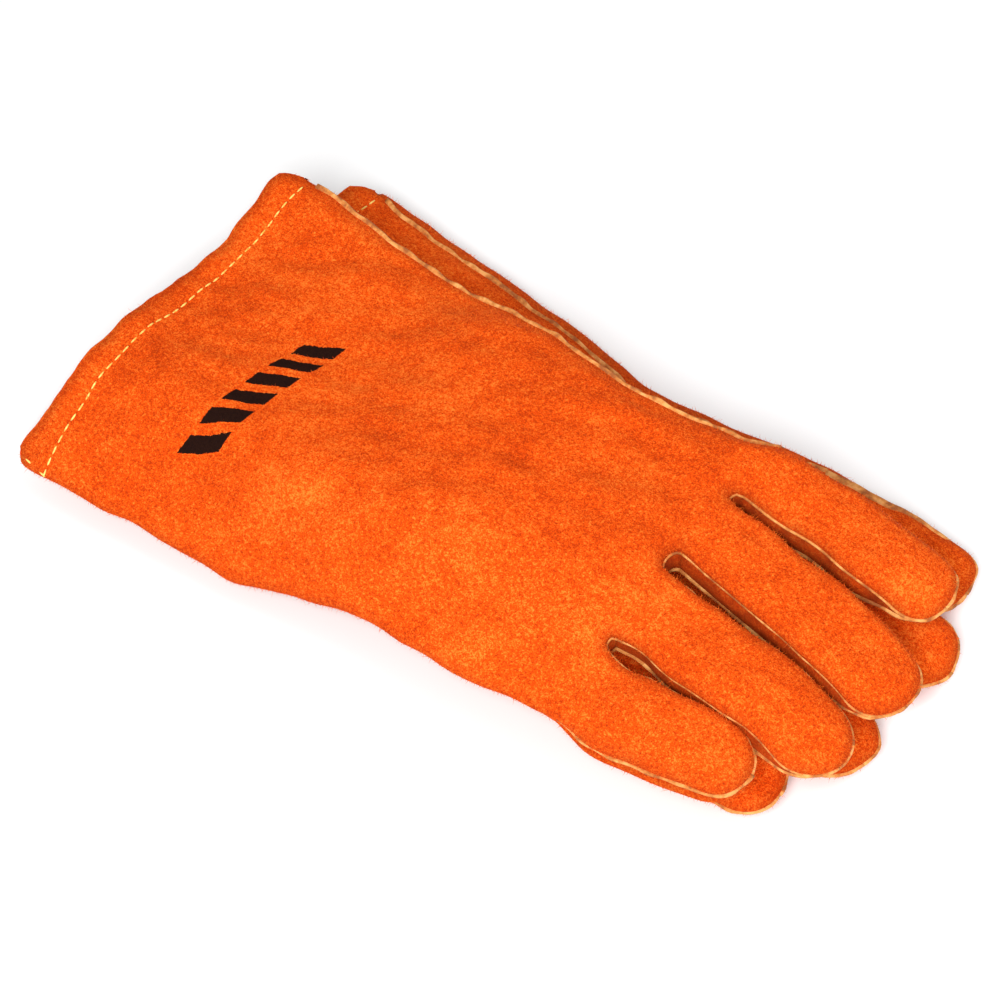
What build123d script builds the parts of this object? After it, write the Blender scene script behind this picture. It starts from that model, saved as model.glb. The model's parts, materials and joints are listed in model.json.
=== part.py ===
from build123d import *

import os
from dataclasses import dataclass
from math import asin, cos, degrees, pi, radians, sin, sqrt

# A pair of leather welding gloves, laid palm to palm: the left glove lies below with its palm up,
# and the right glove lies on it with its back up. Sizes are in millimetres.
#
# A glove is laid out from its knuckle line, where the fingers part: +X runs to the fingertips,
# +Y to the index finger's side and +Z up. At the end both are moved so that the origin is the
# middle of the pair's base, with +X still towards the fingertips.

# Lengths from the knuckle line.
GAUNTLET_LENGTH = 169.0  # from the wrist to the cuff's edge
HAND_LENGTH = 85.0  # from the knuckle line to the wrist
HEM_ALLOWANCE = 12.0  # from the cuff's edge to its line of stitching

# Widths across the glove, and how far each is off the knuckle line's origin.
CUFF_WIDTH, CUFF_CENTRE = 168.0, 0.0
FOREARM_WIDTH, FOREARM_CENTRE = 153.0, -4.0
WRIST_WIDTH, WRIST_CENTRE = 133.0, -2.0
KNUCKLE_CENTRE = 2.5

# What the gloves are made of.
LEATHER = 1.4
LINING = 1.8
WELT = 1.2  # thickness of the strip sewn into a seam
WELT_PROUD = 0.9  # how far it stands out of the seam
WELT_DEPTH = 6.0  # how far it reaches into the seam
THREAD = 0.8
STITCH_ROW = 1.2
SEWN = 0.15  # between two layers that are sewn face to face
JOINT_GAP = 0.8  # between the hand and a finger that bends
BODY_GAP = 1.5  # between the two gloves

# How full the gloves are: the height of each side's crown over the seam.
LEFT_BACK_RISE = 10.5
LEFT_PALM_RISE = 12.5
RIGHT_BACK_RISE = 14.0
RIGHT_PALM_RISE = 11.0
LEFT_CUFF_LIFT = 3.0  # the left cuff's edge curls up off the table
TABLE_FLAT = 0.3  # the lowest leather is pressed flat by this much


@dataclass(frozen=True)
class Finger:
    """A finger stall: splay is in degrees towards the index side, length is to the tip."""

    name: str
    width: float
    length: float
    right_splay: float
    left_splay: float
    outer_side: int  # the side with no neighbour: 1 index side, -1 little side, 0 neither


FINGERS = [
    Finger("index", 34.0, 87.0, -0.5, 1.5, 1),
    Finger("middle", 36.0, 100.0, -4.5, 0.5, 0),
    Finger("ring", 37.0, 95.0, -5.5, -3.0, 0),
    Finger("little", 33.0, 73.0, -5.0, -3.5, -1),
]
FINGER_THICKNESS = 21.0
RIGHT_FINGER_GAP = 3.0
LEFT_FINGER_GAP = 5.0  # the lower glove's fingers lie more spread
SEAM_SHARE = 0.22  # a finger's seams lie this share of its thickness over and under its middle

# The thumb is folded flat on the palm. Its root passes through an opening in the palm.
THUMB_WIDTH = 31.0
THUMB_THICKNESS = 14.0
THUMB_LENGTH = 80.0
THUMB_ROOT = -90.0
THUMB_SINK = 6.0  # the root's axis lies this far inside the palm's face
THUMB_CLEAR = 0.5  # between the thumb and the palm that it is folded on
RIGHT_THUMB_Y = 19.0
LEFT_THUMB_Y = 27.0

# How the left glove lies under the right one.
PILE_SHIFT = (3.0, 27.0)
PILE_TURN = -2.5  # degrees

# Where the right glove hangs down beyond the left one's little side.
HANG_START = -40.0
HANG_POWER = 1.5
CUFF_HANG, WRIST_HANG, KNUCKLE_HANG = 23.0, 27.0, 17.0
CUFF_RAISE = 3.0  # the right cuff stands this much above the pile

SPAN_CUTS = 3  # sections between one station and the next
CURVE_POINTS = 17
FULLNESS = 4.0  # the higher, the flatter the middle of a section


def knuckle_width(gap):
    return sum(finger.width for finger in FINGERS) + gap * (len(FINGERS) - 1)


@dataclass(frozen=True)
class Section:
    """A cross-section of the gauntlet and hand, at one x."""

    x: float
    width: float
    centre: float
    seam: float  # height of the seams
    hang: float  # how far the little side hangs below that
    hang_start: float
    back: float
    palm: float

    def y_at(self, share):
        return self.centre + self.width * (share - 0.5)

    def seam_at(self, y):
        little = self.y_at(0)
        over = max(0.0, self.hang_start - y) / (self.hang_start - little)
        return self.seam - self.hang * over**HANG_POWER

    def blend(self, other, share):
        smooth = share * share * (3 - 2 * share)
        mixed = [
            a + (b - a) * (share if name == "x" else smooth)
            for (name, a), b in zip(self.__dict__.items(), other.__dict__.values())
        ]
        return Section(*mixed)


def seam_gap(share):
    """Half the gap between the back's and the palm's edges: the welt fills it on the index side."""
    folded, welted = SEWN / 2, WELT / 2 + SEWN
    return folded + (welted - folded) * share


class Glove:
    """One glove. `up` is 1 where its back faces up, and -1 where its palm does."""

    def __init__(self, name):
        self.name = name
        self.right = name == "right"
        self.up = 1 if self.right else -1
        self.gap = RIGHT_FINGER_GAP if self.right else LEFT_FINGER_GAP
        self.sections = self.make_sections()
        self.knuckle = self.sections[-1]

    def make_sections(self):
        half = FINGER_THICKNESS / 2
        if self.right:
            pile = LEFT_BACK_RISE + LEFT_PALM_RISE + BODY_GAP
            gauntlet = pile + RIGHT_PALM_RISE + CUFF_RAISE
            hand = pile + THUMB_THICKNESS + 2 * THUMB_CLEAR + RIGHT_PALM_RISE
            knuckles = hand + FINGER_THICKNESS - pile
            seams = [gauntlet, gauntlet, hand, knuckles]
            hangs = [CUFF_HANG, CUFF_HANG, WRIST_HANG, KNUCKLE_HANG]
            starts = [HANG_START, HANG_START, HANG_START, 0.0]
            back, palm = RIGHT_BACK_RISE, RIGHT_PALM_RISE
        else:
            laid = LEFT_BACK_RISE - TABLE_FLAT
            seams = [laid + LEFT_CUFF_LIFT] + [laid] * 3
            hangs, starts = [0.0] * 4, [0.0] * 4
            back, palm = LEFT_BACK_RISE, LEFT_PALM_RISE
        xs = [-HAND_LENGTH - GAUNTLET_LENGTH, -HAND_LENGTH - GAUNTLET_LENGTH / 2, -HAND_LENGTH, 0.0]
        widths = [CUFF_WIDTH, FOREARM_WIDTH, WRIST_WIDTH, knuckle_width(self.gap)]
        centres = [CUFF_CENTRE, FOREARM_CENTRE, WRIST_CENTRE, KNUCKLE_CENTRE]
        stations = [
            Section(*values, back_rise, palm_rise)
            for *values, back_rise, palm_rise in zip(
                xs, widths, centres, seams, hangs, starts, [back] * 3 + [half], [palm] * 3 + [half]
            )
        ]
        made = [stations[0]]
        for first, second in zip(stations, stations[1:]):
            made += [first.blend(second, step / SPAN_CUTS) for step in range(1, SPAN_CUTS + 1)]
        return made

    def curve(self, section, side, depth):
        """Points across a section, `depth` under the leather's face. `side` is 1 back, -1 palm."""
        rise = section.back if side > 0 else section.palm
        edge = seam_gap(1) + LEATHER
        points = []
        for step in range(CURVE_POINTS):
            share = (1 - cos(pi * step / (CURVE_POINTS - 1))) / 2
            y = section.y_at(share)
            bulge = sqrt(1 - abs(2 * share - 1) ** FULLNESS)
            height = seam_gap(share) + LEATHER + (rise - edge) * bulge - depth
            points.append(Vector(section.x, y, section.seam_at(y) + self.up * side * height))
        return points

    def curve_at(self, x, side, depth):
        for first, second in zip(self.sections, self.sections[1:]):
            if first.x <= x <= second.x:
                share = (x - first.x) / (second.x - first.x)
                near, far = self.curve(first, side, depth), self.curve(second, side, depth)
                return [a * (1 - share) + b * share for a, b in zip(near, far)]
        raise ValueError(f"x = {x} lies beyond the glove")

    def panel(self, side, outer_depth, thickness, inset=0, start=0.0, end=0.0):
        """A sheet over one side of the gauntlet and hand, between two distances from its ends.

        `inset` is how many of a section's points it leaves out at each side.
        """
        first, last = self.sections[0].x + start, self.sections[-1].x - end
        cuts = [first] + [section.x for section in self.sections if first < section.x < last] + [last]
        kept = slice(inset, CURVE_POINTS - inset)
        wires = []
        for x in cuts:
            outer = self.curve_at(x, side, outer_depth)[kept]
            inner = self.curve_at(x, side, outer_depth + thickness)[kept]
            wires.append(Wire(Polyline(*outer, *inner[::-1], close=True)))
        return Solid.make_loft(wires, ruled=True)

    def side_welt(self):
        """The strip sewn into the index side's seam, from the hem to the knuckle line."""
        wires = []
        for section in self.sections:
            outer = section.y_at(1.0) + WELT_PROUD
            corners = []
            for y, half in [
                (outer, WELT / 2),
                (outer, -WELT / 2),
                (outer - WELT_DEPTH, -WELT / 2),
                (outer - WELT_DEPTH, WELT / 2),
            ]:
                corners.append((section.x, y, section.seam_at(section.y_at(1.0)) + half))
            wires.append(Wire(Polyline(*corners, close=True)))
        return Solid.make_loft(wires, ruled=True)

    def hem_stitching(self):
        """The two runs of thread that hold the turned hem, on the back and on the palm."""
        before = HEM_ALLOWANCE - STITCH_ROW / 2
        length = GAUNTLET_LENGTH + HAND_LENGTH
        after = length - HEM_ALLOWANCE - STITCH_ROW / 2
        return [
            self.panel(side, -SEWN - THREAD, THREAD, inset=3, start=before, end=after)
            for side in (1, -1)
        ]

    def fingers(self):
        """Each finger with the place of its root and the placement of its straight form."""
        edge = self.knuckle.y_at(1.0)
        for finger in FINGERS:
            root_y = edge - finger.width / 2
            edge -= finger.width + self.gap
            root_z = self.knuckle.seam_at(root_y) + (0.0 if self.right else TABLE_FLAT)
            splay = finger.right_splay if self.right else finger.left_splay
            droop = 0.0
            if self.right:
                rest = LEFT_BACK_RISE + FINGER_THICKNESS / 2 + BODY_GAP + FINGER_THICKNESS / 2
                reach = finger.length - finger.width / 2
                droop = degrees(asin(max(0.0, root_z - rest) / reach))
            place = Pos(0, root_y, root_z) * Rot(0, 0, splay) * Rot(0, droop, 0)
            yield finger, Vector(0, root_y, root_z), splay, place


def stall_form(width, thickness, length, back_reach):
    """A flattened round-ended rod along +X from -back_reach to length."""
    radius = width / 2
    straight = length - radius + back_reach
    rod = Pos(straight / 2 - back_reach, 0, 0) * Rot(0, 90, 0) * Cylinder(radius, straight)
    form = rod + Pos(length - radius, 0, 0) * Sphere(radius)
    return scale(form, by=(1, 1, thickness / width))


def slab(low, high, y_low=-100, y_high=100):
    """A block of space in a stall's own frame, between two heights and two sides."""
    reach = 300
    size = (2 * reach, y_high - y_low, high - low)
    return Pos(0, (y_low + y_high) / 2, (low + high) / 2) * Box(*size)


def stall_shells(width, thickness, length, back_reach):
    """The outer form, grown for the welt, and the faces of the leather and of the lining."""
    deep = LEATHER + SEWN
    return [
        stall_form(width + 2 * grow, thickness + 2 * grow, length + grow, back_reach)
        for grow in (WELT_PROUD, 0, -LEATHER, -deep, -deep - LINING)
    ]


def finger_pieces(finger, up):
    """The pieces of one finger in its own frame, with its back towards `up`."""
    back_reach = 8.0
    proud, outer, inner, lining, hollow = stall_shells(
        finger.width, FINGER_THICKNESS, finger.length, back_reach
    )
    shell = outer - inner
    seam = SEAM_SHARE * FINGER_THICKNESS
    half = WELT / 2 + SEWN
    reach = finger.width

    # Where a finger has a neighbour, a side strip lies between two seams. Where it has none, the
    # back and the front meet at one seam, halfway up.
    def seam_height(direction):
        return 0.0 if finger.outer_side == direction else seam

    back = shell & (
        slab(seam_height(1) + half, reach, 0, reach) + slab(seam_height(-1) + half, reach, -reach, 0)
    )
    front = shell & (
        slab(-reach, -seam_height(1) - half, 0, reach)
        + slab(-reach, -seam_height(-1) - half, -reach, 0)
    )
    strips, welts = [], []
    ring = proud - hollow_out(finger, back_reach)
    for direction in (1, -1):
        near, far = sorted((SEWN * direction, reach * direction))
        if finger.outer_side == direction:
            welts.append(ring & slab(-WELT / 2, WELT / 2, near, far))
            continue
        strips.append(shell & slab(-seam + half, seam - half, near, far))
        for height in (seam, -seam):
            welts.append(ring & slab(height - WELT / 2, height + WELT / 2, near, far))
    pieces = {
        "back": [back],
        "front": [front],
        "sides": strips,
        "welts": welts,
        "liner": [lining - hollow],
    }
    if up < 0:
        pieces["back"], pieces["front"] = pieces["front"], pieces["back"]
    return pieces


def hollow_out(finger, back_reach):
    """The room inside a finger's welts: they reach in as far as the leather does."""
    return stall_form(
        finger.width - 2 * LEATHER, FINGER_THICKNESS - 2 * LEATHER, finger.length - LEATHER, back_reach
    )


def beyond_knuckle(pieces, place):
    """Put a finger's pieces in place and trim them at the joint."""
    reach = 400.0
    space = Pos(JOINT_GAP + reach / 2, 0, 0) * Box(reach, reach, reach)
    return {name: [place * piece & space for piece in made] for name, made in pieces.items()}


def thumb_place(glove):
    """The thumb's frame: its root lies inside the palm and its tip lies on the palm's face."""
    palm_way = -glove.up
    y = RIGHT_THUMB_Y if glove.right else LEFT_THUMB_Y
    reach = THUMB_LENGTH - THUMB_WIDTH / 2
    root_face, tip_face = [
        glove.curve_at(x, -1, 0.0)[CURVE_POINTS // 2].Z for x in (THUMB_ROOT, THUMB_ROOT + reach)
    ]
    root_z = root_face - palm_way * THUMB_SINK
    tip_z = tip_face + palm_way * (THUMB_CLEAR + THUMB_THICKNESS / 2)
    dip = -degrees(asin((tip_z - root_z) / reach))
    return Pos(THUMB_ROOT, y, root_z) * Rot(0, dip, 0)


def thumb_pieces(glove):
    """The thumb's two halves, the welt between them, its liner, and the room that it needs."""
    place = thumb_place(glove)
    proud, outer, inner, lining, hollow = stall_shells(THUMB_WIDTH, THUMB_THICKNESS, THUMB_LENGTH, 0)
    shell = outer - inner
    half = WELT / 2 + SEWN
    reach = THUMB_WIDTH
    above = shell & slab(half, reach)
    below = shell & slab(-reach, -half)
    back, front = (above, below) if glove.up < 0 else (below, above)
    room = stall_form(
        THUMB_WIDTH + 2 * WELT_PROUD + 2 * SEWN,
        THUMB_THICKNESS + 2 * WELT_PROUD + 2 * SEWN,
        THUMB_LENGTH,
        SEWN,
    )
    welt = (proud - inner) & slab(-WELT / 2, WELT / 2)
    pieces = {"thumb_back": back, "thumb_front": front, "thumb_welt": welt}
    placed = {name: [place * piece] for name, piece in pieces.items()}
    return placed, place * (lining - hollow), place * room


def glove_pieces(glove):
    """Every piece of one glove by name, each as a list of solids, in the glove's own frame."""
    thumb, thumb_liner, thumb_room = thumb_pieces(glove)
    deep = LEATHER + SEWN
    linings = {
        "gauntlet_lining": (LINING, 0.0, HAND_LENGTH + SEWN),
        "hand_liner": (LINING, GAUNTLET_LENGTH + SEWN, 0.0),
    }
    back = glove.panel(1, 0.0, LEATHER)
    if not glove.right:
        back = back & slab(0.0, CUFF_WIDTH, -CUFF_WIDTH, CUFF_WIDTH)
    pieces = {
        "back": [back],
        "palm": [glove.panel(-1, 0.0, LEATHER) - thumb_room],
        "side_welt": [glove.side_welt()],
        "hem_stitching": glove.hem_stitching(),
    }
    for name, (thickness, start, end) in linings.items():
        halves = [glove.panel(side, deep, thickness, 1, start, end) for side in (1, -1)]
        pieces[name] = [halves[0], halves[1] - thumb_room]
    pieces["hand_liner"].append(thumb_liner)
    pieces.update(thumb)
    for finger, _, _, place in glove.fingers():
        made = beyond_knuckle(finger_pieces(finger, glove.up), place)
        pieces.update({f"{finger.name}_{name}": solids for name, solids in made.items()})
    return pieces


def solids_of(shapes):
    return [solid for shape in shapes for solid in shape.solids()]


def make_pair():
    """All nodes by name, with the origin at the middle of the pair's base."""
    right, left = Glove("right"), Glove("left")
    lie = Pos(*PILE_SHIFT, 0) * Rot(0, 0, PILE_TURN)
    nodes = {f"right_{name}": solids_of(made) for name, made in glove_pieces(right).items()}
    for name, made in glove_pieces(left).items():
        nodes[f"left_{name}"] = solids_of([lie * shape for shape in made])
    box = Compound(children=[solid.moved(Location()) for made in nodes.values() for solid in made])
    bounds = box.bounding_box()
    to_base = Pos(-bounds.center().X, -bounds.center().Y, -bounds.min.Z)
    placed = {name: [to_base * solid for solid in made] for name, made in nodes.items()}
    return placed, to_base, (right, left)


def export_pair(nodes):
    os.makedirs("parts", exist_ok=True)
    for name, solids in nodes.items():
        shape = solids[0] if len(solids) == 1 else Compound(children=solids)
        shape.label = name
        export_step(shape, f"parts/{name}.step")


def report_joints(to_base, right):
    """Print where each finger of the right glove turns: over its back, at the knuckle line."""
    for finger, root, splay, _ in right.fingers():
        pivot = to_base.position + Vector(JOINT_GAP, root.Y, root.Z + FINGER_THICKNESS / 2 + JOINT_GAP)
        axis = (sin(radians(splay)), -cos(radians(splay)), 0.0)
        print(finger.name, [round(v, 2) for v in pivot], [round(v, 5) for v in axis])


if __name__ == "__main__":
    pair, base, gloves = make_pair()
    export_pair(pair)
    report_joints(base, gloves[0])
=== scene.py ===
import json
import math

import bmesh
import bpy
import numpy as np
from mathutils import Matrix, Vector, geometry, kdtree

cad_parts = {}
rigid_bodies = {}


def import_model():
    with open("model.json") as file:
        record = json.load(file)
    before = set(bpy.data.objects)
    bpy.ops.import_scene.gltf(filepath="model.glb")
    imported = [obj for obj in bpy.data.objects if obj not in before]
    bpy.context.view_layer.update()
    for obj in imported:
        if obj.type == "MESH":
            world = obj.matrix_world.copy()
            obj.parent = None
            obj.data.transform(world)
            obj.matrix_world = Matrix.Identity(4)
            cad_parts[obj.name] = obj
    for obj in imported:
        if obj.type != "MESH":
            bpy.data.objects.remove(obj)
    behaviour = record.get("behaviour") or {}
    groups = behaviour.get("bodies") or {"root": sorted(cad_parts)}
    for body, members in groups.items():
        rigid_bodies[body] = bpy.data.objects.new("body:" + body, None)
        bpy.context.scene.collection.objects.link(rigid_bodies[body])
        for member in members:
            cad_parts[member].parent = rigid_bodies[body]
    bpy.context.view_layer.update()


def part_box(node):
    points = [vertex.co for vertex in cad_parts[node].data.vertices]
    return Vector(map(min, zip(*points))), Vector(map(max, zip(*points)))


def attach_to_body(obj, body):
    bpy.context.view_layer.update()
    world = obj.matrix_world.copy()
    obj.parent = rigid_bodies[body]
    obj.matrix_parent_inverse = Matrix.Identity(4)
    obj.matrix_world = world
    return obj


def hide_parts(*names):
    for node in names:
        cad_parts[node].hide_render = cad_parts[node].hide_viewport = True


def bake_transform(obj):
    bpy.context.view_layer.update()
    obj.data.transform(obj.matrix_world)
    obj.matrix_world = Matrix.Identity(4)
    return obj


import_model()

# A pair of suede welding gloves lying palm to palm, the left one below. Plan sizes and heights are
# worked out in millimetres from the right glove's knuckle line, where the fingers part, and are
# turned into metres in the frame when a mesh is made.

MM = 0.001
TAU = 2 * math.pi


# The knuckle line's origin, in millimetres in the frame: the cuff is centred on it.
BACK_LOW, BACK_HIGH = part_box("right_back")
ORIGIN = np.array([BACK_HIGH.x, (BACK_LOW.y + BACK_HIGH.y) / 2, 0.0]) / MM
CUFF_X = BACK_LOW.x / MM - ORIGIN[0]
WRIST_X = -85.0

LEATHER = 1.4
LINING = 1.6
SEWN = 0.15  # between two layers
HEM = 12.0  # how far the cuff's leather is turned in, to its line of stitching
FINE = 1.9  # between a panel's vertices
FINGER_CUT = 1.0  # the right glove's panels are cut here, between the hand and its fingers
RIM_ROWS = (0.12, 0.45, 1.0)  # rows of vertices this near a seam, where the leather rolls over
STRIP_HALF = 4.6  # half the height of the side strips between the fingers
STRIP_ROWS = 9
SEAM_SHADE_REACH = 6.0  # how far from a seam the leather is painted darker, as painted shade in the seam's crease
GAP_SHADE = 1.7  # how much painted shade the side strips take in the gaps between the fingers, where 1 is the leather at a seam
TABLE_GAP = 0.15  # the least height of the lowest leather
PILE_SHIFT, PILE_TURN = (3.0, 27.0), -2.5  # how the left glove lies under the right one
CUFF_ROUND = 8.0  # radius of the cuff's corner on the index side
ROUNDING = 14.0  # how far in from its seams a panel is still rounding over


def smooth(value, low, high):
    share = np.clip((np.asarray(value, float) - low) / (high - low), 0, 1)
    return share * share * (3 - 2 * share)


def flat(xy):
    """Plan points or ways with a height of 0."""
    return np.column_stack([xy, np.zeros(len(xy))])


def through(points, count):
    """A smooth open curve through a few points (Catmull-Rom), as an array of points."""
    p = np.array(points, float)
    p = np.vstack([2 * p[0] - p[1], p, 2 * p[-1] - p[-2]])
    made = []
    for i in range(1, len(p) - 2):
        for t in np.linspace(0, 1, count, endpoint=False):
            a, b, c, d = p[i - 1], p[i], p[i + 1], p[i + 2]
            square = (2 * a - 5 * b + 4 * c - d) * t**2
            cube = (3 * b - a - 3 * c + d) * t**3
            made.append((2 * b + (c - a) * t + square + cube) / 2)
    made.append(p[-2])
    return np.array(made)


def evenly(points, spacing):
    """The same line with points a given distance apart, both ends kept."""
    points = np.asarray(points, float)
    steps = np.linalg.norm(np.diff(points, axis=0), axis=1)
    run = np.concatenate([[0], np.cumsum(steps)])
    count = max(2, int(round(run[-1] / spacing)) + 1)
    marks = np.linspace(0, run[-1], count)
    return np.stack([np.interp(marks, run, points[:, k]) for k in range(points.shape[1])], 1)


class Ripple:
    """Smooth repeatable unevenness: many plane waves of one band of lengths."""

    def __init__(self, seed, shortest, longest, waves=36):
        rng = np.random.default_rng(seed)
        length = shortest * (longest / shortest) ** rng.random(waves)
        turn = TAU * rng.random(waves)
        self.k = TAU / length[:, None] * np.stack([np.cos(turn), np.sin(turn)], 1)
        self.phase = TAU * rng.random(waves)
        self.scale = math.sqrt(2 / waves)

    def __call__(self, xy):
        return self.scale * np.cos(xy @ self.k.T + self.phase).sum(1)


# ---------------------------------------------------------------- the two gloves' plans


class FingerPlan:
    """A finger's axis, bent once on its way from root to tip, and its widths."""

    def __init__(self, name, root, bend, tip, width, root_share=0.9):
        self.name, self.width, self.root_share = name, width, root_share
        self.root, self.bend, self.tip = (np.array(p, float) for p in (root, bend, tip))

    def axis(self, t):
        t = np.asarray(t, float)[:, None]
        return (1 - t) ** 2 * self.root + 2 * t * (1 - t) * self.bend + t * t * self.tip

    def half_width(self, t):
        length = np.linalg.norm(self.tip - self.root)
        turn_in = 1 - 0.98 * self.width / 2 / length
        swell = self.root_share + (1 - self.root_share) * smooth(t, 0, 0.55)
        round_off = np.clip((t - turn_in) / (1 - turn_in), 0, 1)
        return self.width / 2 * swell * np.sqrt(np.clip(1 - round_off**2.2, 0, 1))

    def edge(self, side):
        """From the root to the tip along one side: 1 towards the index side, -1 the other."""
        t = np.sin(np.linspace(0, math.pi / 2, 90)) ** 0.9
        t[-1] = 1.0
        axis = self.axis(t)
        along = np.gradient(axis, axis=0)
        along /= np.linalg.norm(along, axis=1)[:, None]
        across = np.stack([-along[:, 1], along[:, 0]], 1)
        return axis + side * across * self.half_width(t)[:, None]


# Each glove's fingers, the sides of its hand and gauntlet, and its cuff's little finger and index
# corners.
RIGHT_PLAN = (
    [
        FingerPlan("index", (0, 57), (50, 60.5), (85, 57), 32.5),
        FingerPlan("middle", (0, 20.5), (50, 19), (98, 10), 34),
        FingerPlan("ring", (0, -21.5), (50, -20.5), (93, -28.5), 33),
        FingerPlan("little", (0, -57.5), (42, -60.5), (70.5, -53), 31),
    ],
    [(-22, 65), (-56, 60.5), (-85, 62), (-115, 67), (-165, 72), (-215, 76)],
    [(-200, -83), (-150, -79), (-110, -73), (-85, -71), (-40, -72)],
    ((CUFF_X - 1, -88), (CUFF_X, 78)),
)
LEFT_PLAN = (
    [
        FingerPlan("index", (0, 58), (45, 60.5), (75, 61.5), 35),
        FingerPlan("middle", (0, 22.5), (50, 24), (91.5, 25.5), 36),
        FingerPlan("ring", (0, -17), (50, -23), (91.5, -31), 34),
        FingerPlan("little", (0, -56), (42, -66), (76, -62), 34),
    ],
    [(-22, 68), (-56, 62), (-85, 60), (-115, 64), (-165, 70), (-215, 73)],
    [(-200, -83), (-150, -79), (-110, -73), (-85, -69), (-40, -70)],
    ((CUFF_X, -84), (CUFF_X, 76)),
)
# Each thumb's root and tip, with heights.
THUMBS = {"right": ((-90, 19, 43), (-12, 19, 30.6)), "left": ((-90, 27, 19), (-12, 27, 28.9))}


class Pouch:
    """A flat outline, the mesh inside it, and how full it is when two layers are sewn round it."""

    def __init__(self, stretches, open_label, wobble=None):
        points, labels = [], []
        for label, line in stretches:
            line = evenly(line, FINE)
            points.append(line[:-1])
            labels += [label] * (len(line) - 1)
        self.rim = np.vstack(points)
        self.rim_label = np.array(labels)
        along = np.roll(self.rim, -1, 0) - np.roll(self.rim, 1, 0)
        along /= np.linalg.norm(along, axis=1)[:, None]
        self.rim_out = np.stack([along[:, 1], -along[:, 0]], 1)
        if wobble:
            self.rim = self.rim + self.rim_out * 0.45 * wobble(self.rim)[:, None]
        self.rim_count = len(self.rim)
        self.fill()
        self.weigh()
        self.label = self.rim_label[self.rim_near]
        self.sewn = (self.rim_gap < 1e-3) & (self.label != open_label)
        full = self.relax(np.zeros(len(self.xy)), 1.0)
        self.fullness = np.sqrt(np.clip(full, 0, 1))

    def fill(self):
        """Rows close to the outline, a triangular lattice inside them, joined into triangles."""
        low, high = self.rim.min(0), self.rim.max(0)
        lattice = []
        for number, y in enumerate(np.arange(low[1], high[1], FINE * math.sqrt(3) / 2)):
            xs = np.arange(low[0] + (number % 2) * FINE / 2, high[0], FINE)
            lattice.append(np.stack([xs, np.full(len(xs), y)], 1))
        seeds = [self.rim]
        for points, gap in [(self.rim - self.rim_out * gap, gap) for gap in RIM_ROWS] + [
            (np.vstack(lattice), RIM_ROWS[-1] + 0.62 * FINE)
        ]:
            points = points[inside(self.rim, points)]
            apart, _ = nearest(self.rim, points)
            seeds.append(points[apart > 0.9 * gap])
        loop = [(i, (i + 1) % self.rim_count) for i in range(self.rim_count)]
        points = [Vector(p) for p in np.vstack(seeds)]
        verts, _, faces, _, _, _ = geometry.delaunay_2d_cdt(points, loop, [], 1, 1e-4)
        self.xy = np.array([tuple(v) for v in verts])
        self.faces = np.array([f for f in faces if len(f) == 3])
        a, b, c = (self.xy[self.faces[:, k]] for k in range(3))
        turn = (b - a)[:, 0] * (c - a)[:, 1] - (b - a)[:, 1] * (c - a)[:, 0]
        self.faces[turn < 0] = self.faces[turn < 0][:, ::-1]
        self.rim_gap, self.rim_near = nearest(self.rim, self.xy)

    def weigh(self):
        """Each corner's cotangent pulls on the edge across from it, and each vertex has an area."""
        n = len(self.xy)
        self.pairs, self.pull, self.area = [], [], np.zeros(n)
        for k in range(3):
            i, j, o = (self.faces[:, (k + step) % 3] for step in (0, 1, 2))
            p, q = self.xy[i] - self.xy[o], self.xy[j] - self.xy[o]
            cross = np.abs(p[:, 0] * q[:, 1] - p[:, 1] * q[:, 0])
            self.pairs.append(np.stack([i, j], 1))
            self.pull.append(0.5 * np.clip((p * q).sum(1) / np.maximum(cross, 1e-9), 0, 50))
            self.area += np.bincount(i, cross / 6, n)
        self.pairs, self.pull = np.vstack(self.pairs), np.concatenate(self.pull)
        i, j = self.pairs.T
        self.total = np.bincount(i, self.pull, n) + np.bincount(j, self.pull, n)

    def relax(self, held, source, reach=None):
        """Solve v - reach² ∇²v = source on the mesh with v = held along the sewn outline."""
        reach = reach or ROUNDING
        n, (i, j), free = len(self.xy), self.pairs.T, ~self.sewn

        def spread(v):
            near = np.bincount(i, self.pull * v[j], n) + np.bincount(j, self.pull * v[i], n)
            return self.area * v + reach**2 * (self.total * v - near)

        scale = self.area + reach**2 * self.total
        made = np.where(self.sewn, held, 0.0)
        left = np.where(free, self.area * source - spread(made), 0.0)
        step = left / scale
        way, product = step.copy(), left @ step
        for _ in range(400):
            image = np.where(free, spread(way), 0.0)
            share = product / max(way @ image, 1e-30)
            made += share * way
            left -= share * image
            step = left / scale
            product, before = left @ step, product
            if product < 1e-12 * self.area.sum():
                break
            way = step + product / before * way
        return made


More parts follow.
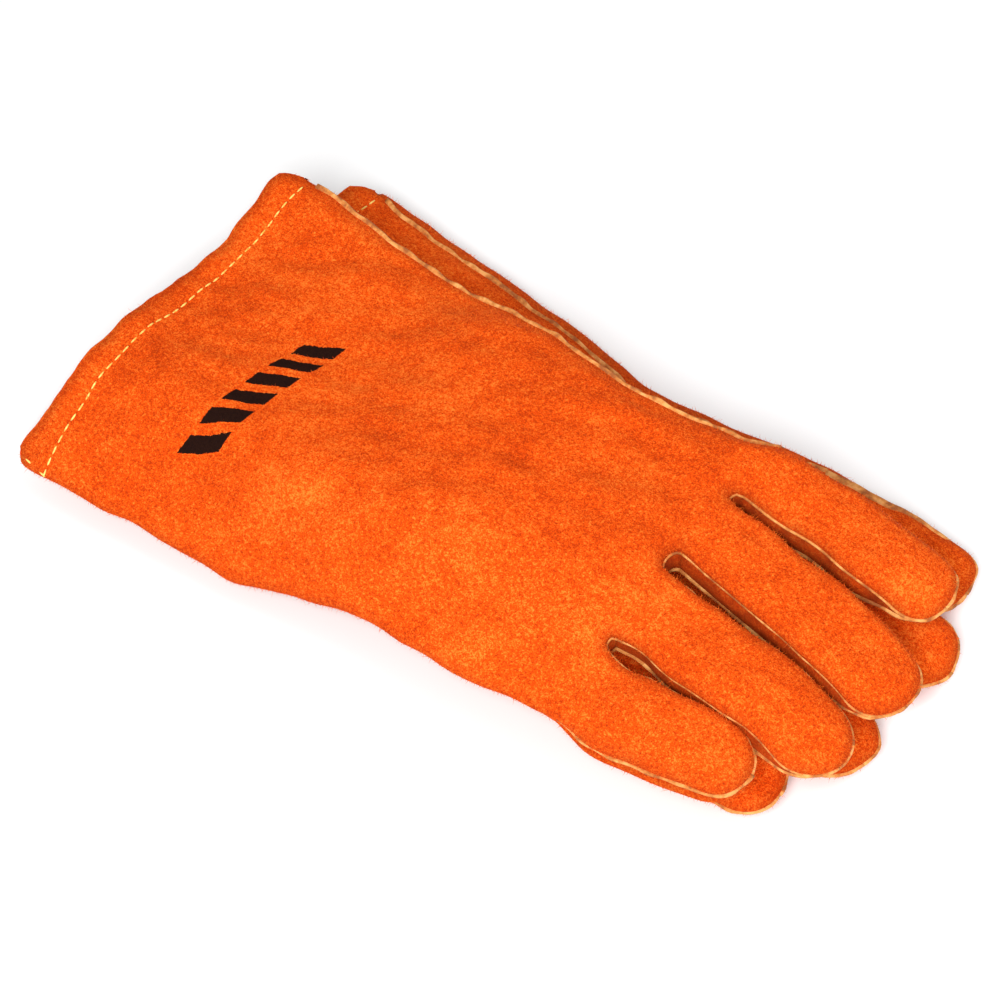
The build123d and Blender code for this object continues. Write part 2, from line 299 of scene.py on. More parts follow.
class Glove(Pouch):
    """One glove, with the back and the palm sewn round one outline."""

    def __init__(self, name, fingers, index_side, little_side, corners):
        self.name, self.right, self.fingers = name, name == "right", fingers
        little_corner, index_corner = corners
        index_end = np.array(index_corner, float) + (CUFF_ROUND, 1.0)
        last = fingers[-1]
        stretches = [("little_side", through([little_corner, *little_side, last.edge(-1)[0]], 12))]
        for finger, following in zip(fingers[::-1], fingers[::-1][1:] + [None]):
            stretches.append((finger.name + "_low", finger.edge(-1)))
            stretches.append((finger.name + "_high", finger.edge(1)[::-1]))
            if following:
                stretches.append(("crotch_" + finger.name, crotch(finger, following)))
        index_side = [fingers[0].edge(1)[0], *index_side, index_end]
        stretches.append(("index_side", through(index_side, 12)))
        stretches.append(("cuff", through(cuff_edge(index_end, index_corner, little_corner), 12)))
        super().__init__(stretches, "cuff", Ripple(5 + self.right, 18, 55))
        soft = self.label == "index_side"
        if not self.right:
            soft |= (self.label == "index_high") & (self.xy[:, 0] < 55)
        self.soft = self.relax(soft * 1.0, 0.0, 22.0)
        self.strip = self.relax(self.strip_half(), 0.0)
        self.lift = self.relax(self.seam_lift(), 0.0)
        self.ripple = {
            "fold": Ripple(11 + self.right, 45, 110),
            "dent": Ripple(23 + self.right, 14, 34),
            "grain": Ripple(37 + self.right, 5, 11),
        }
        self.room = self.surface(True)[:, 2] - self.surface(False)[:, 2]

    def strip_half(self):
        """Half the height of the side strips between the fingers: none where a finger has none."""
        made = np.zeros(len(self.xy))
        for number, finger in enumerate(self.fingers):
            toward_tip = smooth(self.xy[:, 0], finger.tip[0] - 36, finger.tip[0] - 2)
            for side, outer in (("_low", number == 3), ("_high", number == 0)):
                on = self.label == finger.name + side
                made[on] = 0.0 if outer else (STRIP_HALF * (1 - toward_tip))[on]
            made[self.label == "crotch_" + finger.name] = STRIP_HALF
        return made

    def seam_lift(self):
        """How far the index side's seam lies above the glove's middle."""
        index = (self.label == "index_side") | (self.label == "index_high")
        along = 1 - smooth(self.xy[:, 0], 20, 70)
        return np.where(index, (4.0 if self.right else 5.5) * along, 0.0)

    # ------------------------------------------------ from the plan to the glove's own space

    def middle(self, xy):
        """Height of the surface halfway between the back and the palm."""
        x, y = xy[:, 0], xy[:, 1]
        if not self.right:
            return 10.5 + 3.0 * smooth(-x, 190, -CUFF_X)
        tall = 38.5 + 12.0 * smooth(x, -175, WRIST_X) - 3.5 * smooth(x, WRIST_X, 0)
        tall = tall - 13.5 * np.clip(x / 82, 0, 1.2) ** 0.9
        start = -40 + 40 * smooth(x, WRIST_X, 0)
        edge = -84 + 14 * smooth(x, CUFF_X, WRIST_X)
        depth = 23 + 4 * smooth(x, CUFF_X, WRIST_X) - 10 * smooth(x, WRIST_X, 0)
        depth = depth * (1 - smooth(x, 0, 70))
        over = np.clip((start - y) / (start - edge), 0, 1.3)
        curl = 9.0 * smooth(y, 38, 84) * np.exp(-(((x - CUFF_X) / 62) ** 2))
        dip = 4.5 * np.exp(-(((y - 14) / 34) ** 2)) * np.exp(-(((x - CUFF_X) / 60) ** 2))
        return tall - depth * over**1.5 + curl - dip

    def frame_at(self, xy):
        """The middle surface's points and its upward normals."""
        step = 0.5
        z = self.middle(xy)
        slope_x = (self.middle(xy + (step, 0)) - z) / step
        slope_y = (self.middle(xy + (0, step)) - z) / step
        normal = np.stack([-slope_x, -slope_y, np.ones(len(z))], 1)
        normal /= np.linalg.norm(normal, axis=1)[:, None]
        return np.column_stack([xy, z]), normal

    def rise(self, xy, up):
        """How high a panel would stand over its seams if it were wide."""
        x = xy[:, 0]
        on_finger = smooth(x, -12, 18)
        if self.right:
            wide = 7.5 + 4.5 * smooth(x, CUFF_X, -150) + 1.0 * smooth(x, -150, -60) if up else 10.0
        else:
            wide = 9.5 + 2.0 * smooth(x, CUFF_X, -150) if up else 11.5
        on_fingers = 12.2 if self.right and up else 9.6
        return wide + (on_fingers - wide) * on_finger

    def surface(self, up):
        """The outside of the upper or the lower panel."""
        xy = self.xy
        base, normal = self.frame_at(xy)
        other_side = (0, 300 * up)
        lumps = (
            1.1 * self.ripple["fold"](xy + other_side)
            + 0.42 * self.ripple["dent"](xy + other_side)
            + 0.10 * self.ripple["grain"](xy + other_side)
        )
        off_seam = smooth(self.rim_gap, 0, 9)
        free = off_seam + np.where(self.label == "cuff", 1 - off_seam, 0)
        past_hem = xy[:, 0] - CUFF_X - HEM
        hem = 0.4 * (1 - smooth(past_hem, -0.5, 2.5)) - 0.5 * np.exp(-((past_hem / 1.5) ** 2))
        profile = self.fullness ** (1 + 1.3 * self.soft) if up else self.fullness
        height = self.rise(xy, up) * profile + lumps * free + hem * smooth(self.rim_gap, 0, 4)
        height = np.maximum(height, 0.05)
        side = 1 if up else -1
        offset = self.lift + side * (self.strip + height)
        points = base + normal * offset[:, None]
        out = flat(self.rim_out[self.rim_near])
        bulge = 4 * self.fullness * (1 - self.fullness) * np.exp(-self.rim_gap / 12)
        points += out * (self.roll(up)[self.rim_near] * bulge)[:, None]
        if not self.right and not up:
            points[:, 2] = np.maximum(points[:, 2], TABLE_GAP)
        return points

    def at(self, up, xy):
        """Points on a panel's face over points of the plan."""
        face = self.surface(up)
        tree = kdtree.KDTree(len(self.xy))
        for i, (x, y) in enumerate(self.xy):
            tree.insert((x, y, 0), i)
        tree.balance()
        made = []
        for x, y in xy:
            found = tree.find_n((x, y, 0), 4)
            weight = np.array([1 / (f[2] ** 2 + 1e-3) for f in found])
            made.append((face[[f[1] for f in found]] * weight[:, None]).sum(0) / weight.sum())
        return np.array(made)

    def roll(self, up):
        """How far each stretch of a panel bellies out past its seam."""
        made = np.where(np.char.startswith(self.rim_label, "crotch"), 0.0, 1.2)
        index = self.rim_label == "index_side"
        little = self.rim_label == "little_side"
        if self.right:
            made[index], made[little] = (1.0, 6.0) if up else (6.5, 1.0)
            if up:
                made[np.isin(self.rim_label, ("ring_low", "middle_low"))] = 3.0
            else:
                made[self.rim_label == "little_low"] = 6.0
        else:
            made[index], made[little] = (1.0, 2.0) if up else (12.0, 2.0)
            if not up:
                made[self.rim_label == "index_high"] = 5.0 * (1 - smooth(self.rim[:, 0], 30, 75))[
                    self.rim_label == "index_high"
                ]
        near = np.exp(-(((np.arange(-20, 21)) * FINE / 16) ** 2))
        wrapped = np.concatenate([made[-20:], made, made[:20]])
        return np.convolve(wrapped, near / near.sum(), "valid")

    def rim_lines(self):
        """The upper and the lower seam line along the outline, and the ways out and up there."""
        base, normal = self.frame_at(self.rim)
        near = nearest(self.xy, self.rim)[1]
        strip, lift = self.strip[near], self.lift[near]
        out = flat(self.rim_out)
        upper = base + normal * (lift + strip)[:, None]
        lower = base + normal * (lift - strip)[:, None]
        return upper, lower, out, normal, strip

    def to_frame(self, points):
        """From the glove's own space, in millimetres, to the frame, in metres."""
        points = np.asarray(points, float)
        if not self.right:
            turn = math.radians(PILE_TURN)
            c, s = math.cos(turn), math.sin(turn)
            x = points[:, 0] * c - points[:, 1] * s + PILE_SHIFT[0]
            y = points[:, 0] * s + points[:, 1] * c + PILE_SHIFT[1]
            points = np.column_stack([x, y, points[:, 2]])
        return (points + ORIGIN) * MM


def crotch(low, high):
    """The small loop between two fingers, from one finger's edge to the next one's."""
    start, end = low.edge(1)[0], high.edge(-1)[0]
    middle, half = (start + end) / 2, (end - start) / 2
    turn = np.linspace(-math.pi / 2, math.pi / 2, 24)
    depth = max(1.2, 0.62 * np.linalg.norm(half))
    return middle + np.outer(np.sin(turn), half) - np.outer(np.cos(turn), (depth, 0))


def cuff_edge(index_end, index_corner, little_corner):
    """The cuff is cut straight, lies a little wavy and is rounded at the index side's corner."""
    a, b = np.array(index_corner, float), np.array(little_corner, float)
    sway = (0.0, 1.5, 0.5, 1.5, 0.0)
    turn = [a + CUFF_ROUND * np.array([1 - math.sin(t), math.cos(t) - 1]) for t in (0.5, 1.0)]
    across = [a + (b - a) * i / 4 + (dx, 0) for i, dx in enumerate(sway)]
    across[0] = a + (0, -CUFF_ROUND)
    return [index_end, *turn, *across]


def inside(loop, points):
    """Which points lie inside a closed loop."""
    found = np.zeros(len(points), bool)
    for (x1, y1), (x2, y2) in zip(loop, np.roll(loop, -1, 0)):
        spans = (y1 > points[:, 1]) != (y2 > points[:, 1])
        if spans.any():
            cross = x1 + (points[:, 1] - y1) * (x2 - x1) / (y2 - y1 if y2 != y1 else 1e-9)
            found ^= spans & (points[:, 0] < cross)
    return found


def nearest(base, points):
    """The distance from each point to the nearest of the base's points, and which that is."""
    tree = kdtree.KDTree(len(base))
    for i, p in enumerate(base):
        tree.insert((p[0], p[1], 0), i)
    tree.balance()
    found = [tree.find((p[0], p[1], 0)) for p in points]
    return np.array([f[2] for f in found]), np.array([f[1] for f in found])


# ---------------------------------------------------------------- turning points into meshes


def in_scene(name, data):
    made = bpy.data.objects.new(name, data)
    bpy.context.scene.collection.objects.link(made)
    return made


def new_object(name, verts, faces, normals=None):
    mesh = bpy.data.meshes.new(name)
    mesh.from_pydata([tuple(v) for v in verts], [], [tuple(int(i) for i in f) for f in faces])
    mesh.shade_smooth()
    if normals is not None:
        mesh.normals_split_custom_set_from_vertices([tuple(n) for n in normals])
    return in_scene(name, mesh)


def vertex_normals(points, faces):
    a, b, c = (points[faces[:, k]] for k in range(3))
    face = np.cross(b - a, c - a)
    made = np.zeros_like(points)
    for k in range(3):
        for axis in range(3):
            made[:, axis] += np.bincount(faces[:, k], face[:, axis], len(points))
    return made / np.maximum(np.linalg.norm(made, axis=1)[:, None], 1e-12)


def rim_edges(faces):
    """The directed edges that only one triangle has."""
    edges = np.vstack([faces[:, [0, 1]], faces[:, [1, 2]], faces[:, [2, 0]]])
    key = np.sort(edges, 1)
    _, first, count = np.unique(key, axis=0, return_index=True, return_counts=True)
    return edges[first[count == 1]]


def set_attribute(made, name, values):
    data = made.data.attributes.new(name, "FLOAT", "POINT").data
    data.foreach_set("value", np.full(len(data), values, np.float32))


def slab_faces(faces):
    """The faces of a closed sheet whose inner vertices follow its outer ones, and the outer ones
    that it uses."""
    used, packed = np.unique(faces, return_inverse=True)
    faces, count = packed.reshape(-1, 3), len(used)
    edges = rim_edges(faces)
    walls = np.column_stack([edges[:, 1], edges[:, 0], edges[:, 0] + count, edges[:, 1] + count])
    return [*faces, *(faces[:, ::-1] + count), *walls], used


def tube_faces(count, size):
    """The faces of a closed bar with `size` lines of `count` vertices along it."""
    faces = [
        (k * count + i, (k + 1) % size * count + i, (k + 1) % size * count + i + 1, k * count + i + 1)
        for i in range(count - 1)
        for k in range(size)
    ]
    ends = [tuple(k * count + end for k in range(size)) for end in (0, count - 1)]
    return [*faces, ends[0][::-1], ends[1]]


def leather_piece(name, leather, outside, normals, faces, room, seam_near, nap_share):
    """A sheet with its outside given and its inside below that, closed at its edges.

    It thins out where there is less room for two layers. Normals come from the whole panel, so
    that pieces cut from one panel join without a line.
    """
    faces, used = slab_faces(faces)
    outer, normal = outside[used], normals[used]
    inner = outer - normal * np.clip(0.42 * room[used, None], 0.05, LEATHER) * MM
    made = new_object(name, np.vstack([outer, inner]), faces, np.vstack([normal, -normal]))
    made.data.materials.append(leather)
    set_attribute(made, "nap", np.concatenate([nap_share[used], np.zeros(len(used))]))
    set_attribute(made, "seam_near", np.tile(seam_near[used], 2))
    return made


def panel(pouch, up):
    """The points, faces and normals of one of the two sides of a glove or a thumb."""
    points = pouch.to_frame(pouch.surface(up))
    faces = pouch.faces if up else pouch.faces[:, ::-1]
    return points, faces, vertex_normals(points, faces)


def face_regions(glove):
    """For each of a glove's triangles, 0 on the hand and 1 to 4 on its fingers."""
    centre = glove.xy[glove.faces].mean(1)
    outside = []
    for finger in glove.fingers:
        t = np.clip(centre[:, 0] / finger.tip[0], 0, 1)
        outside.append(np.abs(finger.axis(t)[:, 1] - centre[:, 1]) - finger.half_width(t))
    return np.where(centre[:, 0] > FINGER_CUT, np.argmin(outside, axis=0) + 1, 0)


def merge(parts):
    verts, faces, start = [], [], 0
    for v, f in parts:
        verts.append(np.asarray(v, float))
        faces += [tuple(int(i) + start for i in face) for face in f]
        start += len(v)
    return np.vstack(verts), faces


def face_outwards(made):
    """Turn the mesh's faces outwards."""
    work = bmesh.new()
    work.from_mesh(made.data)
    bmesh.ops.recalc_face_normals(work, faces=work.faces)
    work.to_mesh(made.data)
    work.free()
    return made


# ---------------------------------------------------------------- leather panels


def body_of(glove, region):
    if not glove.right:
        return "left_glove"
    return "right_hand" if region == 0 else "right_" + glove.fingers[region - 1].name


def attach(made, glove, region, nodes):
    """Give a hand piece or a left glove's piece its body, bake a right finger's piece in place, and hide
    the CAD nodes that it stands for.
    """
    if glove.right and region:
        finger = glove.fingers[region - 1]
        root = glove.to_frame([(*finger.root, 0.0)])[0]
        tip = glove.to_frame([(*finger.tip, 0.0)])[0]
        body_of(glove, region)
        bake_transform(made)
    else:
        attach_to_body(made, body_of(glove, region))
    if nodes:
        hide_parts(*nodes)


def nap_share(glove, up):
    """How much nap stands at each vertex: all of it where the panel lies open, less underneath."""
    if glove.right and up:
        open_here = np.ones(len(glove.xy))
    elif up:
        open_here = np.maximum(smooth(glove.xy[:, 1], 25, 35), smooth(glove.xy[:, 0], -20, 0))
    else:
        open_here = 1 - smooth(glove.rim_gap, 10, 16)
    return np.maximum(open_here, 0.25)


def leather_panels(glove, up, leather):
    """The back or the palm: one sheet on the left glove, cut at the knuckles on the right one."""
    points, faces, normals = panel(glove, up)
    regions = face_regions(glove)
    # Painted shade: 1 at a seam, fading to 0 away from it; the suede is painted darker there.
    near = 1 - smooth(glove.rim_gap, 0, SEAM_SHADE_REACH)
    share = nap_share(glove, up) * smooth(points[:, 2], 2 * MM, 5 * MM)
    back = up == glove.right
    hand = f"{glove.name}_{'back' if back else 'palm'}"
    fingers = [f"{glove.name}_{f.name}_{'back' if back else 'front'}" for f in glove.fingers]
    if glove.right:
        groups = [(hand, 0, [hand])] + [(name, i + 1, [name]) for i, name in enumerate(fingers)]
    else:
        groups = [(hand, None, [hand, *fingers])]
    made = []
    for node, region, nodes in groups:
        kept = faces if region is None else faces[regions == region]
        name = node + "_leather"
        piece = leather_piece(name, leather, points, normals, kept, glove.room, near, share)
        attach(piece, glove, region or 0, nodes)
        made.append((piece, region or 0))
    return made


def stretch_spans(glove):
    """Each labelled stretch of the outline as the indices of its vertices, ends shared."""
    spans, start = {}, 0
    labels = list(glove.rim_label)
    while start < len(labels):
        end = start
        while end < len(labels) and labels[end] == labels[start]:
            end += 1
        spans[labels[start]] = np.arange(start, end + 1) % glove.rim_count
        start = end
    return spans


def side_strip(glove, on, lines):
    """A fourchette: the strip between the upper and the lower seam, bellied out between them.

    `on` picks the part of the outline that it follows."""
    upper, lower, out, _, strip = lines
    wave = glove.ripple["dent"](glove.rim[on] + (500, 0))
    outer = []
    for share in np.linspace(0, 1, STRIP_ROWS):
        belly = (1.5 * strip[on] / STRIP_HALF + 0.35 * wave) * math.sin(math.pi * share)
        outer.append(upper[on] + (lower[on] - upper[on]) * share + out[on] * belly[:, None])
    inner = [row - out[on] * LEATHER for row in outer]
    return np.vstack(outer + inner[::-1]), tube_faces(len(on), 2 * STRIP_ROWS)


def welt_strip(glove, on, lines, sides, proud=1.0, tilt=0.0):
    """The cut edge of the welt that stands out of a seam.

    `sides` says which seam lines it is in: 1 the upper, -1 the lower, 0 the only one."""
    upper, lower, out, normal, strip = lines
    parts = []
    for side in sides:
        base = (upper if side >= 0 else lower)[on]
        lean = side * np.clip(strip[on] / 3.0, 0, 1)[:, None]
        way = out[on] + (0.9 * lean + tilt) * normal[on]
        way /= np.linalg.norm(way, axis=1)[:, None]
        across = np.cross(np.gradient(base, axis=0), way)
        across /= np.maximum(np.linalg.norm(across, axis=1)[:, None], 1e-9)
        wave = glove.ripple["grain"](glove.rim[on] * 0.6 + (0, 90 * side))[:, None]
        profile = [(-2.4, 0.5), (0.6, 0.55), (1.0, 0.3), (1.0, -0.3), (0.6, -0.55), (-2.4, -0.5)]
        lines_along = [base + way * (p * proud + 0.22 * wave) + across * q for p, q in profile]
        parts.append((np.vstack(lines_along), tube_faces(len(on), len(profile))))
    return merge(parts)


def seams(glove, leather, welt_leather):
    """Side strips and welts, finger by finger, the loops between fingers, and the side welts."""
    lines, spans = glove.rim_lines(), stretch_spans(glove)

    def strips(name, parts, region, nodes):
        made = finished(name, glove, merge(parts), leather)
        # Painted shade: the side strips are painted darker, as the shade deep in the gaps between the
        # fingers.
        set_attribute(made, "seam_near", GAP_SHADE)
        attach(made, glove, region, nodes)

    def welts(name, parts, region, nodes):
        made = finished(name, glove, merge(parts), welt_leather)
        attach(made, glove, region, nodes)

    loop_strips, loop_welts = [], []
    for number, finger in enumerate(glove.fingers):
        sides = [(spans[finger.name + "_low"], number == 3), (spans[finger.name + "_high"], number == 0)]
        shaped = [side_strip(glove, trim_tip(on, lines[4]), lines) for on, outer in sides if not outer]
        node = f"{glove.name}_{finger.name}_sides"
        strips(node + "_strips", shaped, number + 1, [node])
        shaped = [welt_strip(glove, on, lines, (0,) if outer else (1, -1)) for on, outer in sides]
        node = f"{glove.name}_{finger.name}_welts"
        welts(node + "_cut_edges", shaped, number + 1, [node])
        if "crotch_" + finger.name in spans:
            loop = spans["crotch_" + finger.name]
            loop_strips.append(side_strip(glove, loop, lines))
            loop_welts.append(welt_strip(glove, loop, lines, (1, -1)))
    strips(glove.name + "_crotch_strips", loop_strips, 0, [])
    welts(glove.name + "_crotch_welts", loop_welts, 0, [])
    side = spans["index_side"]
    beyond_hem = side[glove.rim[side, 0] > CUFF_X + HEM + 2.0]
    node = glove.name + "_side_welt"
    welts(node + "_cut_edge", [welt_strip(glove, beyond_hem, lines, (0,), 1.4, 0.9)], 0, [node])


def trim_tip(on, strip):
    """Leave out the end of a side strip where its two seams have met at the fingertip."""
    return on[strip[on] > 0.12]


def finished(name, glove, shape, material):
    made = face_outwards(new_object(name, glove.to_frame(shape[0]), shape[1]))
    made.data.materials.append(material)
    return made


# ---------------------------------------------------------------- materials

SUEDE_TONES = ((0.41, "#AE3407"), (0.475, "#D54609"), (0.52, "#E4530C"), (0.59, "#F57E2C"))
INK = "#100D0B"
PRINT_PLACE, PRINT_TURN = (-0.1065, -0.0440, 0.0), 84.0  # the bar's middle in metres, degrees
PRINT_BLOCKS, PRINT_HEIGHT, PRINT_PITCH = 6, 15.0, 12.5
PRINT_INKED = 0.6  # how much of the pitch a block takes


def rgb(code):
    """An sRGB hex colour as linear numbers."""
    parts = [int(code[i : i + 2], 16) / 255 for i in (1, 3, 5)]
    return tuple([c / 12.92 if c <= 0.04045 else ((c + 0.055) / 1.055) ** 2.4 for c in parts] + [1.0])


def add(tree, kind, links=None, **settings):
    """Add one node: settings are properties or input values, links are sockets by input name."""
    node = tree.nodes.new(kind)
    for key, value in settings.items():
        if hasattr(node, key):
            setattr(node, key, value)
        else:
            node.inputs[key.replace("_", " ")].default_value = value
    for key, socket in (links or {}).items():
        tree.links.new(socket, node.inputs[key])
    return node


def ramp(tree, factor, stops):
    node = add(tree, "ShaderNodeValToRGB", {"Fac": factor})
    band = node.color_ramp
    while len(band.elements) < len(stops):
        band.elements.new(0.5)
    for element, (place, code) in zip(band.elements, stops):
        element.position, element.color = place, rgb(code)
    return node.outputs["Color"]


def material(name):
    made = bpy.data.materials.new(name)
    made.use_nodes = True
    tree = made.node_tree
    tree.nodes.clear()
    out = add(tree, "ShaderNodeOutputMaterial")
    shader = add(tree, "ShaderNodeBsdfPrincipled")
    tree.links.new(shader.outputs["BSDF"], out.inputs["Surface"])
    place = add(tree, "ShaderNodeTexCoord").outputs["Object"]
    return made, tree, shader, place


def noise(tree, place, millimetres, detail=3.0, roughness=0.55, offset=(0, 0, 0)):
    """Noise whose largest lumps are about this many millimetres across."""
    moved = add(tree, "ShaderNodeMapping", {"Vector": place}, Location=offset)
    scale = 1 / (millimetres * MM)
    vector = {"Vector": moved.outputs["Vector"]}
    return add(
        tree, "ShaderNodeTexNoise", vector, Scale=scale, Detail=detail, Roughness=roughness
    ).outputs["Fac"]


def math_node(tree, operation, a, b=None):
    node = add(tree, "ShaderNodeMath", operation=operation)
    for socket, value in zip(node.inputs, (a, b)):
        if isinstance(value, (int, float)):
            socket.default_value = value
        elif value is not None:
            tree.links.new(value, socket)
    return node.outputs[0]


def mix_colour(tree, factor, a, b):
    node = add(tree, "ShaderNodeMix", data_type="RGBA")
    for socket, value in ((node.inputs[0], factor), (node.inputs[6], a), (node.inputs[7], b)):
        if isinstance(value, (int, float, tuple)):
            socket.default_value = value
        else:
            tree.links.new(value, socket)
    return node.outputs[2]


def surface(tree, shader, colour, roughness, height, strength, depth):
    """Give the shader its colour, its roughness and a relief this many millimetres deep."""
    tree.links.new(colour, shader.inputs["Base Color"])
    shader.inputs["Roughness"].default_value = roughness
    bump = add(tree, "ShaderNodeBump", {"Height": height}, Strength=strength, Distance=depth * MM)
    tree.links.new(bump.outputs["Normal"], shader.inputs["Normal"])


def suede_tone(tree, place):
    """The dyed split's colour: nearly even over the hide, mottled where the nap lies over, and
    grained at the size of its tufts. Gives the colour and the height of the tufts."""
    clouds = noise(tree, place, 45, 3)
    strokes = noise(tree, place, 9, 4, 0.6, (0.3, 0.1, 0))
    tufts = noise(tree, place, 1.5, 3, 0.7, (0.7, 0.2, 0.1))
    grain = noise(tree, place, 0.6, 2, 0.7)
    tone = math_node(tree, "MULTIPLY", clouds, 0.12)
    for part, share in ((strokes, 0.13), (tufts, 0.33), (grain, 0.42)):
        tone = math_node(tree, "ADD", tone, math_node(tree, "MULTIPLY", part, share))
    colour = ramp(tree, tone, SUEDE_TONES)
    height = math_node(tree, "ADD", math_node(tree, "MULTIPLY", tufts, 0.8), grain)
    height = math_node(tree, "ADD", height, math_node(tree, "MULTIPLY", strokes, 0.8))
    return colour, height, tufts, strokes


def suede(name, printed=False):
    """Split cowhide, dyed through and napped: no shine, only the soft glow of its fibres."""
    made, tree, shader, place = material(name)
    colour, height, tufts, strokes = suede_tone(tree, place)
    # Painted shade: the suede is mixed towards dark brown near the seams and on the side strips, where
    # shade gathers in creases and gaps.
    seam = add(tree, "ShaderNodeAttribute", attribute_name="seam_near").outputs["Fac"]
    painted_shade = math_node(tree, "MULTIPLY", seam, math_node(tree, "MULTIPLY", strokes, 0.9))
    colour = mix_colour(tree, painted_shade, colour, rgb("#82290A"))
    sheen = shader.inputs["Sheen Weight"]
    sheen.default_value = 0.16
    if printed:
        mask = print_mask(tree, place, tufts)
        colour = mix_colour(tree, mask, colour, rgb(INK))
        glow = math_node(tree, "SUBTRACT", 0.16, math_node(tree, "MULTIPLY", mask, 0.15))
        tree.links.new(glow, sheen)
    shader.inputs["Specular IOR Level"].default_value = 0.05
    shader.inputs["Sheen Roughness"].default_value = 0.4
    shader.inputs["Sheen Tint"].default_value = rgb("#FF6A20")
    surface(tree, shader, colour, 0.92, height, 0.75, 0.6)
    return made


def suede_nap(printed=False):
    """The loose fibres that stand out of the split: each as the hide under it, a little paler or
    darker. Over the print they are inked."""
    made, tree, shader, place = material("printed suede nap" if printed else "suede nap")
    colour, _, tufts, _ = suede_tone(tree, place)
    tone = add(tree, "ShaderNodeAttribute", attribute_name="tone").outputs["Fac"]
    colour = mix_colour(tree, math_node(tree, "MULTIPLY", tone, 0.5), colour, rgb("#F57A2C"))
    if printed:
        colour = mix_colour(tree, print_mask(tree, place, tufts), colour, rgb(INK))
    tree.links.new(colour, shader.inputs["Base Color"])
    shader.inputs["Roughness"].default_value = 0.8
    shader.inputs["Specular IOR Level"].default_value = 0.1
    return made


def print_mask(tree, place, ragged):
    """A plain bar of slanting blocks, printed in black across the gauntlet's back."""
    moved = add(
        tree,
        "ShaderNodeMapping",
        {"Vector": place},
        vector_type="TEXTURE",
        Location=PRINT_PLACE,
        Rotation=(0, 0, math.radians(PRINT_TURN)),
    )
    parts = add(tree, "ShaderNodeSeparateXYZ", {"Vector": moved.outputs["Vector"]}).outputs
    rough = math_node(tree, "MULTIPLY", math_node(tree, "SUBTRACT", ragged, 0.5), 1.1 * MM)
    u, v = (math_node(tree, "ADD", parts[axis], rough) for axis in "XY")
    in_bar = math_node(tree, "LESS_THAN", math_node(tree, "ABSOLUTE", v), PRINT_HEIGHT / 2 * MM)
    slant = math_node(tree, "ADD", u, math_node(tree, "MULTIPLY", v, 0.6))
    length = (PRINT_BLOCKS - 1 + PRINT_INKED) * PRINT_PITCH * MM
    in_length = math_node(tree, "LESS_THAN", math_node(tree, "ABSOLUTE", slant), length / 2)
    along = math_node(tree, "DIVIDE", slant, PRINT_PITCH * MM)
    along = math_node(tree, "ADD", along, length / 2 / PRINT_PITCH / MM)
    block = math_node(tree, "LESS_THAN", math_node(tree, "FRACT", along), PRINT_INKED)
    ink = math_node(tree, "MULTIPLY", math_node(tree, "MULTIPLY", in_length, in_bar), block)
    return math_node(tree, "MULTIPLY", ink, 0.985)


def welt_leather():
    """Split-leather welt with its cut edge showing: dull tan, darker where it is handled."""
    made, tree, shader, place = material("split leather welt")
    tone = noise(tree, place, 5, 4, 0.6)
    colour = ramp(tree, tone, [(0.38, "#9A531E"), (0.5, "#C87C35"), (0.62, "#E3A25A")])
    surface(tree, shader, colour, 0.8, noise(tree, place, 0.9, 2), 0.4, 0.3)
    return made


def fleece():
    """Napped cotton fleece: off-white, with a soft lumpy pile."""
    made, tree, shader, place = material("cotton fleece")
    colour = ramp(tree, noise(tree, place, 2.5, 4, 0.7), [(0.3, "#B9AC93"), (0.6, "#E9E1CF")])
    shader.inputs["Sheen Weight"].default_value = 0.4
    surface(tree, shader, colour, 1.0, noise(tree, place, 1.2, 3, 0.7), 0.8, 0.6)
    return made


def duck():
    """Cotton duck, a plain weave of about 14 threads to the centimetre, undyed."""
    made, tree, shader, place = material("cotton duck")
    parts = add(tree, "ShaderNodeSeparateXYZ", {"Vector": place}).outputs
    pitch = 0.7 * MM
    turns = [math_node(tree, "MULTIPLY", parts[axis], TAU / (2 * pitch)) for axis in "XY"]
    over = math_node(tree, "MULTIPLY", *[math_node(tree, "SINE", turn) for turn in turns])
    height = math_node(tree, "ABSOLUTE", over)
    shade = math_node(tree, "ADD", math_node(tree, "MULTIPLY", height, 0.5), noise(tree, place, 6, 4))
    colour = ramp(tree, shade, [(0.35, "#8F8468"), (0.95, "#DDD2B6")])
    surface(tree, shader, colour, 0.95, height, 0.7, 0.25)
    return made


def thread():
    """Twisted aramid sewing thread: yellow, a little shiny, with its plies showing."""
    made, tree, shader, place = material("aramid thread")
    colour = ramp(tree, noise(tree, place, 1.5, 2), [(0.35, "#D9A93A"), (0.6, "#F6D873")])
    ply = add(
        tree, "ShaderNodeTexWave", {"Vector": place}, bands_direction="DIAGONAL", Scale=1 / (4 * MM)
    )
    surface(tree, shader, colour, 0.5, ply.outputs["Fac"], 0.5, 0.1)
    return made


# ---------------------------------------------------------------- linings, hems and thumbs


def layer(glove, up, depth, thickness, kept):
    """A sheet inside one panel: vertices and faces in metres in the frame."""
    points, faces, normals = panel(glove, up)
    faces, used = slab_faces(faces[kept])
    outer = points[used] - normals[used] * depth * MM
    inner = points[used] - normals[used] * (depth + thickness) * MM
    return np.vstack([outer, inner]), faces


